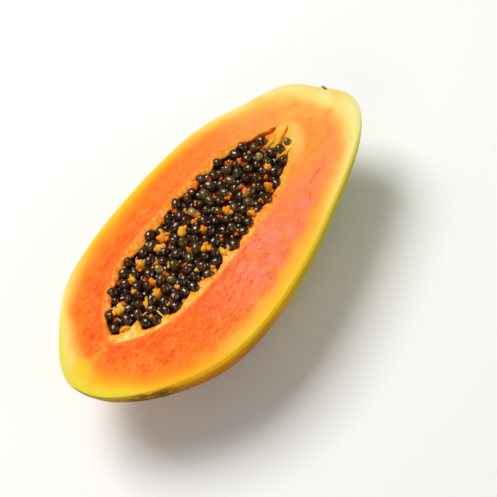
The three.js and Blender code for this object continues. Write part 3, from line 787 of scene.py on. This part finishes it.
def lining_surface(width):
    """The placenta's lining: a thin bowl inside the cavity with a torn fringe at the cut.

    Rings run up its inner wall, out under the fringe, round its torn edge, back over its top
    and down the outer wall, which is sunk a hair into the flesh. Returns tones as well."""
    angle = spread_angles(AROUND)
    torn_curve = closed_curve(FRINGE_POINTS)
    mouth, outer, wall, torn = (radius_of(curve)(angle) for curve in (
        inset(RIM_CURVE, -LAP), inset(RIM_CURVE, -SUNK), inset(RIM_CURVE, 0.9 * width),
        torn_curve))
    plan = ring(angle, torn, -FACE)
    torn = np.minimum(torn + ripples(plan, 31, (0.55, 3.4), (0.35, 1.8)), mouth - 0.9)
    lump = ripples(plan, 33, (0.3, 4.5), (0.15, 2.1))
    depth = CAVITY_DEPTH - GAP - width
    steep = np.linspace(1.4, 0.2, 12)
    rows = [ring(angle, wall * cos(q), -depth * sin(q)) for q in steep]
    rows += [ring(angle, mouth - (mouth - torn) * share, height + lump * share)
             for share, height in FRINGE_SECTION]
    rows += [ring(angle, outer, -1.2), ring(angle, outer, -2.4)]
    rows += [ring(angle, outer * cos(q), -(CAVITY_DEPTH - 0.1) * sin(q)) for q in steep[::-1]]
    rows = np.array(rows)
    first, last = len(steep), len(steep) + len(FRINGE_SECTION) - 2
    rows[first:last] += 0.16 * shake(rows[first:last], 2.6, 35)

    # In the narrow stem corner the bowl is filled, up to 1.4 mm below the cut.
    x, _, z = np.moveaxis(rows[:first], -1, 0)
    corner = smooth_step(x, *STEM_CORNER)
    filled = FACE - 3.2 + 1.8 * smooth_step(x, 54, 64) + 0.4 * ripple(rows[:first], 3.0, 38)
    z += corner * (np.maximum(z, filled) - z)
    cleft = in_cleft(rows[first:last])
    rows[first + 4:last, :, 2] -= CLEFT["depth"] * cleft[4:]
    surface = closed_grid([*CENTRE, FACE - depth], rows, [*CENTRE, FACE - CAVITY_DEPTH + 0.1])

    # Darker orange down the wall, painted shade; on top the torn edge's tone, lit up along the
    # crest on the thick side, which is -Y, and fading into the flesh on the other.
    turn = angle_from_centre(torn_curve)
    order = np.argsort(turn)
    tone = np.interp(angle, turn[order], torn_curve[order, 2], period=2 * pi)
    thick = np.sin(angle - radians(5)) < 0
    by_flesh = np.where(thick, tone + 0.13, 0.42)
    torn_edge = np.where(thick, tone - 0.16, tone)
    tones = np.full(rows.shape[:2], 0.10)
    # Painted light: lighter tones in the stem corner, where the flesh wall shades it.
    tones[:first] += 0.32 * corner
    for row, (share, height) in enumerate(FRINGE_SECTION, first):
        if height > -0.9:
            tones[row] = by_flesh + (torn_edge - by_flesh) * share
        else:
            # Painted light in the stem corner here too.
            tones[row] += 0.32 * smooth_step(rows[row, :, 0], *STEM_CORNER)
    # Painted shade: the cleft darkens towards the shaded placenta colour.
    tones[first:last] *= 1 - cleft
    tones = np.concatenate([[0.1], tones.ravel(), [0.1]])
    return surface, tones + 0.10 * ripple(surface[0], 2.5, 41)


def in_cleft(points):
    """1 along the cleft's middle and 0 outside it: a bell curve across, fading at both ends."""
    start, end = np.array(CLEFT["from"]), np.array(CLEFT["to"])
    length = np.hypot(*(end - start))
    way = (end - start) / length
    off = points[..., :2] - start
    along = off @ way
    across = np.linalg.norm(off - along[..., None] * way, axis=-1)
    width = CLEFT["width"] * (0.45 + 0.55 * smooth_step(length - along, 0, length))
    inside = smooth_step(along, -1, 1) * smooth_step(length - along, -0.5, 2.5)
    return inside * np.exp(-(across / width) ** 2)


def strand_surface(x, y, length, width, turn, rise, seed, count=24, root=-9.0):
    """One strand: an oval ring carried up a leaning line, thin at its root, widest near the
    top and closed in a blunt lumpy tip."""
    t = np.linspace(0.0, 0.985, count)
    swell = (0.5 + 0.5 * smooth_step(t, 0.2, 0.75)) * np.sqrt(1 - t**5)
    turn = radians(turn)
    around = 2 * pi * np.arange(count) / count
    height = root + (rise - root) * t
    across = np.stack([0.5 * length * np.cos(around), 0.5 * width * np.sin(around)], 1)
    plan = across @ np.array([[cos(turn), sin(turn)], [-sin(turn), cos(turn)]])
    rows = np.concatenate([
        plan[None] * swell[:, None, None] + [x, y],
        np.broadcast_to(FACE + height[:, None, None], (count, count, 1))], -1)
    rows = rows + 0.34 * shake(rows, 3.2, seed) + 0.12 * shake(rows, 1.5, seed)
    tip = rows[-1].mean(0) + [0, 0, 0.006 * (rise - root)]
    return closed_grid(rows[0].mean(0) - [0, 0, 0.4], rows, tip)


def fibre_surface(points, radius, sides=6):
    """A fibre: a small ring carried along a smooth line through the points, thinner at both
    ends."""
    p = np.vstack([2 * points[0] - points[1], points, 2 * points[-1] - points[-2]])
    t = np.linspace(0, len(p) - 3.001, 5 * (len(p) - 3) + 1)
    i = t.astype(int)
    line = between(*(p[i + k] for k in range(4)), (t - i)[:, None])
    along = np.gradient(line, axis=0)
    along /= np.linalg.norm(along, axis=1, keepdims=True)
    side = np.cross(along, [0, 0, 1])
    side /= np.linalg.norm(side, axis=1, keepdims=True)
    up = np.cross(side, along)
    thick = radius * (0.35 + 0.65 * np.sin(pi * np.linspace(0.06, 0.94, len(line))))
    turn = 2 * pi * np.arange(sides)[:, None] / sides
    rows = line[:, None] + thick[:, None, None] * (
        np.cos(turn) * side[:, None] + np.sin(turn) * up[:, None])
    ends = 0.3 * radius * along
    return closed_grid(line[0] - ends[0], rows, line[-1] + ends[-1])


def random_source(state):
    """Even random numbers from 0 to 1: each state is the last times 16807, modulo a prime."""
    prime = 2**31 - 1
    while True:
        state = state * 16807 % prime
        yield state / prime


def on_strand(x, y):
    """True where a strand stands, with 1 mm round it."""
    for at_x, at_y, length, width, turn, _, _ in STRANDS:
        c, s = cos(radians(turn)), sin(radians(turn))
        along, across = c * (x - at_x) + s * (y - at_y), c * (y - at_y) - s * (x - at_x)
        if np.hypot(along / (0.5 * length + 1), across / (0.5 * width + 1)) <= 1:
            return True
    return False


def gap_to(places, spot):
    """Distance from a spot to the nearest of some places, endless where there are none."""
    return np.hypot(*(np.array(places) - spot).T).min() if len(places) else np.inf


def fallen(tries, margin, spacing, first=(), others=(), clear=0.0, on_strands=False):
    """The first places, and each try that falls inside the cavity with a margin, keeps its
    spacing to the places before it, is clear of the others and, if asked, lies on no strand."""
    reach = heap_reach(margin)
    places = list(first)
    for spot in tries:
        if gap_to(places, spot) <= spacing or gap_to(others, spot) < clear:
            continue
        inside = np.hypot(*(spot - CENTRE)) <= reach(angle_from_centre(spot))
        if inside and (on_strands or not on_strand(*spot)):
            places.append(tuple(spot))
    return np.array(places)


def seed_places(draw):
    """The leading seeds, then as many more as fall at random without crowding another."""
    low, high = SEED_AREA
    tries = (low + (high - low) * (next(draw), next(draw)) for _ in range(SEED_TRIES))
    return fallen(tries, GAP + SEED_MARGIN, SEED_SPACING, first=LEADING_SEEDS)


def heap_height(places, rise):
    """Height of seed centres: highest in the middle of the cavity, falling with the square of
    the share of the way to its wall."""
    share = np.hypot(*(places - CENTRE).T) / heap_reach(2 * GAP)(angle_from_centre(places))
    return FACE - SEED_SINK + rise * (1 - share**2)


def turns_from(angles):
    """Rotation matrices that turn about Z, then Y, then X."""
    return np.array([Euler(turn, "ZYX").to_matrix() for turn in angles])


def ball(rings, sides, radius, point=0.0):
    """A ball of rings round Z, drawn in by a share towards its upper end."""
    rise = np.linspace(-1, 1, rings + 2)[1:-1, None] * pi / 2
    around = 2 * pi * np.arange(sides) / sides
    wide = (1 - point * np.sin(rise) * (np.sin(rise) > 0)) * np.cos(rise)
    rows = radius * np.stack([wide * np.cos(around), wide * np.sin(around),
                              np.sin(rise) + 0 * around], -1)
    return closed_grid([0, 0, -radius], rows, [0, 0, radius])


def seed_shape():
    """One seed of unit length, along X, and width: a ball, a little pointed where it grew."""
    points, faces = ball(5, 8, 0.53, 0.12)
    return np.roll(points, 1, 1), faces


# ---- Properties ----

def size_in_mm(name, description, millimetres, low, high):
    """A size that a user may change."""
    return bpy.props.FloatProperty(
        name=name, description=description, default=millimetres, min=low, max=high)


def tint(name, description, hex_colour):
    """A colour that a user may change."""
    return bpy.props.FloatVectorProperty(
        name=name, description=description, subtype="COLOR", size=3, min=0, max=1,
        default=linear(hex_colour))


class PapayaSizes(bpy.types.PropertyGroup):
    """Sizes of the small parts, in millimetres."""

    seed_length: size_in_mm("Seed length", "Length of a seed in its gel", 6.3, 4, 9)
    seed_width: size_in_mm("Seed width", "Width of a seed in its gel", 5.6, 3, 8)
    heap_rise: size_in_mm("Heap rise", "How much higher the middle seeds lie", 2.0, 0, 6)
    lining: size_in_mm("Lining", "Thickness of the placenta on the wall", LINING, 0.5, 4)


class PapayaColours(bpy.types.PropertyGroup):
    """Colours of every surface."""

    rind_line: tint("Rind line", "Cut edge of the skin", "#EAC41C")
    flesh_outer: tint("Outer flesh", "Flesh just under the rind", "#FDB91E")
    flesh: tint("Flesh", "Flesh half way in", "#FB8016")
    flesh_deep: tint("Deep flesh", "Flesh by the cavity", "#FB6A0C")
    # Salmon is the flesh's own tint and a painted pinkish sheen.
    flesh_salmon_and_sheen: tint("Salmon flesh", "Flesh on the thick side", "#FD8050")
    flesh_stem: tint("Stem flesh", "Flesh towards the stem", "#FD9C3C")
    flesh_streak: tint("Streaks", "Fibres and juice dabs", "#EE4408")
    fringe: tint("Fringe", "Torn edge of the placenta", "#FFD062")
    pulp: tint("Placenta", "Thicker placenta", "#FB8C12")
    pulp_deep: tint("Deep placenta", "Placenta down the walls", "#E25C0A")
    pulp_shade: tint("Shaded placenta", "Placenta at the bottom", "#A83806")
    # Painted shade: the dark pulp between the seeds, as well as juice.
    juice: tint("Juice", "Soaked pulp between the seeds", "#4A1406")
    skin: tint("Skin", "Main colour of the skin", "#D09A00")
    skin_gold: tint("Gold skin", "Clouds in the skin", "#C08600")
    skin_lime: tint("Lime skin", "Skin towards the stem", "#B4A80A")
    skin_green: tint("Green skin", "Green left in the skin", "#8CA31A")
    skin_tip: tint("Tip", "Skin at the blossom end", "#8F820E")
    scar: tint("Stem scar", "Cork where the stem broke off", "#9A9A70")
    seed: tint("Seed", "Darkest seed coat", "#1C0E03")
    seed_brown: tint("Brown seed", "Middle of the seed coats", "#482A0A")
    seed_olive: tint("Olive seed", "Lighter seed coats", "#5E4E16")
    seed_pale: tint("Pale seed", "Seeds that never filled", "#B89B4C")
    floor: tint("Floor", "Paper sweep", "#F9F9F7")


# ---- Operators ----

class PAPAYA_OT_fruit(bpy.types.Operator):
    """Build the skin and flesh"""

    bl_idname = "papaya.fruit"
    bl_label = "Skin and Flesh"

    def execute(self, context):
        colours = context.scene.papaya_colours
        surface, attributes, slots = fruit_surface()
        new_piece("papaya_skin_and_flesh", surface,
                  [flesh_material(colours), skin_material(colours)],
                  "fruit_half", attributes, slots)
        points, faces = ball(6, 9, 0.5)
        points = points * CORK["size"] + CORK["place"]
        points += 0.2 * shake(points, 1.6, 91)
        new_piece("stem_scar", (points, faces), [cork_material(colours)], "fruit_half")
        return {"FINISHED"}


class PAPAYA_OT_placenta(bpy.types.Operator):
    """Build the placenta's lining and the strands that stand up between the seeds"""

    bl_idname = "papaya.placenta"
    bl_label = "Placenta"

    def execute(self, context):
        material = placenta_material(context.scene.papaya_colours)
        lining, tone = lining_surface(context.scene.papaya_sizes.lining)
        new_piece("placenta_lining", lining, [material], "placenta", {"tone": tone})
        strands = [(strand_surface(*shape, seed=50 + 5 * number), tone)
                   for number, (*shape, tone) in enumerate(STRANDS)]
        rise = FACE + np.array([-0.6, 0.4, -0.5])
        strands += [(fibre_surface(np.column_stack([places, rise]), radius), tone)
                    for radius, tone, places in FIBRES]
        tones = [np.full(len(strand[0]), tone) for strand, tone in strands]
        new_piece("placenta_strands", together([strand for strand, _ in strands]), [material],
                  "placenta", {"tone": np.concatenate(tones)})
        return {"FINISHED"}


class PAPAYA_OT_crumbs(bpy.types.Operator):
    """Drop small torn bits of placenta into the gaps between the seeds"""

    bl_idname = "papaya.crumbs"
    bl_label = "Placenta Crumbs"

    def execute(self, context):
        rng = np.random.default_rng(17)
        loose = fallen(
            rng.uniform(*CRUMBS["area"], (CRUMBS["tries"], 2)), CRUMBS["margin"],
            CRUMBS["spacing"], others=seed_places(random_source(SEED_START)),
            clear=CRUMBS["clear"], on_strands=True)
        few = len(loose)
        knobs = np.array([strand for strand in STRANDS if strand[2] <= KNOB_LENGTH])
        x, y, _, width, _, _, tone = np.repeat(knobs, 2, axis=0).T
        spots = np.vstack([loose, np.stack([x, y], 1)])
        spread = np.r_[np.full(few, 0.8), 0.25 * width]
        lift = np.r_[rng.uniform(*CRUMBS["lift"], few), np.full(len(x), 1.5)]
        spots, spread, lift = (np.repeat(each, LUMPS, axis=0) for each in (spots, spread, lift))
        count = len(spots)
        spots = spots + spread[:, None] * rng.normal(0, 1, (count, 2))
        height = heap_height(spots, context.scene.papaya_sizes.heap_rise)
        height += lift + rng.uniform(-0.5, 0.5, count)
        size = rng.uniform(*CRUMBS["lump"], (count, 3)) * (1 + 0.35 * (spread[:, None] > 0.8))
        turns = turns_from(rng.uniform(0, pi, (count, 3)))
        bit = ball(6, 9, 0.5)
        points, faces = copies(bit, np.column_stack([spots, height]), turns, size)
        points += 0.22 * shake(points, 1.4, 81)
        tone = np.repeat(np.r_[rng.choice((0.16, 0.34, 0.45, 0.62), few), 0.92 * tone], LUMPS)
        tone = np.repeat(tone + rng.normal(0, 0.08, count), len(bit[0]))
        new_piece("placenta_crumbs", (points, faces),
                  [placenta_material(context.scene.papaya_colours)],
                  "placenta", {"tone": tone})
        return {"FINISHED"}


class PAPAYA_OT_seeds(bpy.types.Operator):
    """Heap the seeds in the cavity, over a second layer and a dark middle of painted shade"""

    bl_idname = "papaya.seeds"
    bl_label = "Seeds"

    def execute(self, context):
        sizes = context.scene.papaya_sizes
        seed = np.array([[sizes.seed_length, sizes.seed_width, sizes.seed_width]])
        material = seed_material(context.scene.papaya_colours)
        draw = random_source(SEED_START)
        places = seed_places(draw)
        drawn = np.array([[next(draw) for _ in range(5)] for _ in places])
        size = (0.92 + 0.16 * drawn[:, :1]) * seed
        height = heap_height(places, sizes.heap_rise) + SEED_LIFT * (2 * drawn[:, 4] - 1)

        # Most seeds are dark and a few lighter, besides the ones that never filled.
        tones = 0.62 * np.random.default_rng(61).beta(1.5, 2.4, len(places))
        for *spot, tone in PALE_SEEDS:
            pale = np.hypot(*(places - spot).T).argmin()
            tones[pale] = tone
            size[pale] *= 0.85
        self.heap("seeds_upper", material, places, height, pi * drawn[:, 1:4], size, tones)

        rng = np.random.default_rng(7)
        under = fallen(rng.uniform(*UNDER["area"], (UNDER["tries"], 2)), GAP + SEED_MARGIN,
                       UNDER["spacing"], others=places, clear=UNDER["clear"])
        count = len(under)
        height = heap_height(under, sizes.heap_rise) - UNDER["drop"]
        height += rng.uniform(-0.6, 0.6, count)
        size = seed * rng.uniform(0.9, 1.02, (count, 1))
        self.heap("seeds_lower", material, under, height, rng.uniform(0, pi, (count, 3)), size,
                  np.full(count, 0.1))

        # The dark middle under the seeds: painted shade in the gaps between them.
        angle = spread_angles(CORE["around"])
        radius = heap_reach(3 * GAP)(angle)
        depth = CAVITY_DEPTH - 3 * GAP - sizes.lining
        rows = [ring(angle, radius * share, sizes.heap_rise * (1 - share**2) - CORE["drop"])
                for share in np.linspace(0.08, 0.985, 12)]
        rows += [ring(angle, radius * cos(q), -depth * sin(q)) for q in np.linspace(0.3, 1.4, 8)]
        core = closed_grid([*CENTRE, rows[0][0, 2]], np.array(rows), [*CENTRE, FACE - depth])
        new_piece("seed_heap_middle", core, [pulp_in_shade_material(context.scene.papaya_colours)],
                  "seed_mass")
        return {"FINISHED"}

    def heap(self, name, material, places, height, angles, size, tones):
        """Copies of one seed with a tone each, rounded by a subdivision surface."""
        shape = seed_shape()
        places = np.column_stack([places, height])
        points, faces = copies(shape, places, turns_from(angles), size)
        points += 0.16 * shake(points, 4.5, 63)
        piece = new_piece(name, (points, faces), [material], "seed_mass",
                          {"tone": np.repeat(tones, len(shape[0]))})
        rounded = piece.modifiers.new("Rounded", "SUBSURF")
        rounded.levels = rounded.render_levels = 2


class PAPAYA_OT_studio(bpy.types.Operator):
    """Set up the paper sweep, the soft lights and the camera"""

    bl_idname = "papaya.studio"
    bl_label = "Studio"

    def execute(self, context):
        scene = context.scene
        scene.view_settings.view_transform = "Standard"
        half = 3.0
        mesh = bpy.data.meshes.new("paper_sweep")
        mesh.from_pydata([(-half, -half, 0), (half, -half, 0), (half, half, 0), (-half, half, 0)],
                         [], [(0, 1, 2, 3)])
        mesh.materials.append(floor_material(scene.papaya_colours))
        floor = bpy.data.objects.new("paper_sweep", mesh)
        scene.collection.objects.link(floor)

        world = bpy.data.worlds.new("Soft room")
        world.use_nodes = True
        tree = world.node_tree
        tree.nodes.clear()
        room = paint(tree, rgba("#888887"), (add(tree, "LightPath", out="Is Glossy Ray"), "#4C3C28"))
        add(tree, "OutputWorld", inputs=(add(tree, "Background", inputs=(room,)),))
        scene.world = world

        middle = Vector((0, 0, FACE * MM))
        for name, direction, size, power in (
            ("Key softbox", (0.02, 0.53, 0.85), 0.85, 24.0),
            ("Fill softbox", (-0.75, -0.3, 0.6), 0.8, 2.5),
            ("Side card", (0.45, -0.85, 0.13), 0.8, 6.8),
        ):
            light = bpy.data.lights.new(name, "AREA")
            light.size = size
            light.energy = power
            way = Vector(direction).normalized()
            self.aim(scene, bpy.data.objects.new(name, light), middle + way * 1.6,
                     way.to_track_quat("Z", "Y"))

        camera = bpy.data.cameras.new("Camera")
        camera.sensor_width = 36.0
        camera.lens = 115.9
        scene.camera = bpy.data.objects.new("Camera", camera)
        eye = middle + Vector((-0.2198, -0.3008, 0.7070))
        target = middle + Vector((0.0038, -0.0190, 0.0))
        tilt = Quaternion((0, 0, 1), radians(-14.35))
        self.aim(scene, scene.camera, eye, (target - eye).to_track_quat("-Z", "Y") @ tilt)
        return {"FINISHED"}

    def aim(self, scene, thing, place, turn):
        """Put a light or the camera in its place, turned."""
        thing.location = place
        thing.rotation_mode = "QUATERNION"
        thing.rotation_quaternion = turn
        scene.collection.objects.link(thing)


class PAPAYA_PT_panel(bpy.types.Panel):
    """Lists the papaya's pieces, sizes and colours"""

    bl_label = "Papaya Half"
    bl_idname = "PAPAYA_PT_panel"
    bl_space_type = "VIEW_3D"
    bl_region_type = "UI"
    bl_category = "Papaya"

    def draw(self, context):
        for operator in OPERATORS:
            self.layout.operator(operator.bl_idname)
        for group in (context.scene.papaya_sizes, context.scene.papaya_colours):
            for name in group.__annotations__:
                self.layout.prop(group, name)


OPERATORS = (PAPAYA_OT_fruit, PAPAYA_OT_placenta, PAPAYA_OT_crumbs, PAPAYA_OT_seeds,
             PAPAYA_OT_studio)
CLASSES = (PapayaSizes, PapayaColours, *OPERATORS, PAPAYA_PT_panel)


def register():
    """Register the classes and hang the properties on the scene."""
    for cls in CLASSES:
        bpy.utils.register_class(cls)
    bpy.types.Scene.papaya_sizes = bpy.props.PointerProperty(type=PapayaSizes)
    bpy.types.Scene.papaya_colours = bpy.props.PointerProperty(type=PapayaColours)


def unregister():
    """Undo register."""
    del bpy.types.Scene.papaya_colours
    del bpy.types.Scene.papaya_sizes
    for cls in reversed(CLASSES):
        bpy.utils.unregister_class(cls)


def main():
    """Register the classes and build every piece, then the studio."""
    register()
    bpy.ops.papaya.fruit()
    bpy.ops.papaya.placenta()
    bpy.ops.papaya.crumbs()
    bpy.ops.papaya.seeds()
    bpy.ops.papaya.studio()


if __name__ == "__main__":
    main()
